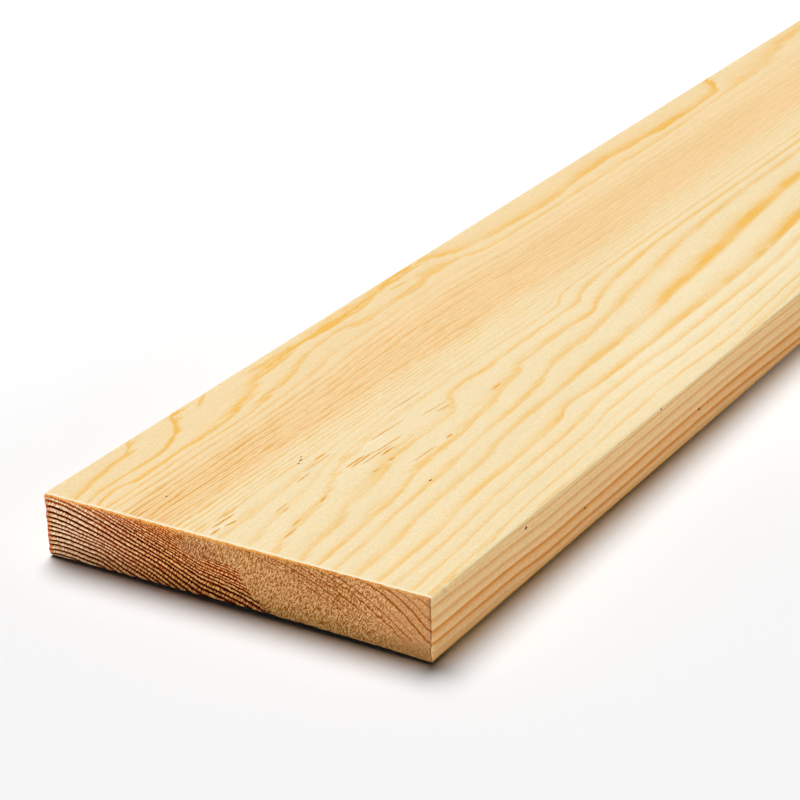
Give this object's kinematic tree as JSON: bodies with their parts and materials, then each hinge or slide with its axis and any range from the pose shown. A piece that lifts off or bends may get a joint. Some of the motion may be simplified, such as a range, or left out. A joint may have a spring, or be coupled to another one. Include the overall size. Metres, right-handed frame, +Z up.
{
  "type": "timber plank",
  "caption": "Long planed softwood board with a flat rectangular section, eased long edges and square sawn ends, for shelving, trim and general joinery.",
  "frame": {"origin": "centre of the underside, on the floor that the plank lies on", "axes": "+Y along the length and the grain, +X across the width, +Z up through the thickness, out of the wide upper face"},
  "size_m": [0.119, 1.8, 0.018],
  "materials": {
    "pine": "matte"
  },
  "bodies": {
    "root": {"plank": "pine"}
  },
  "joints": []
}
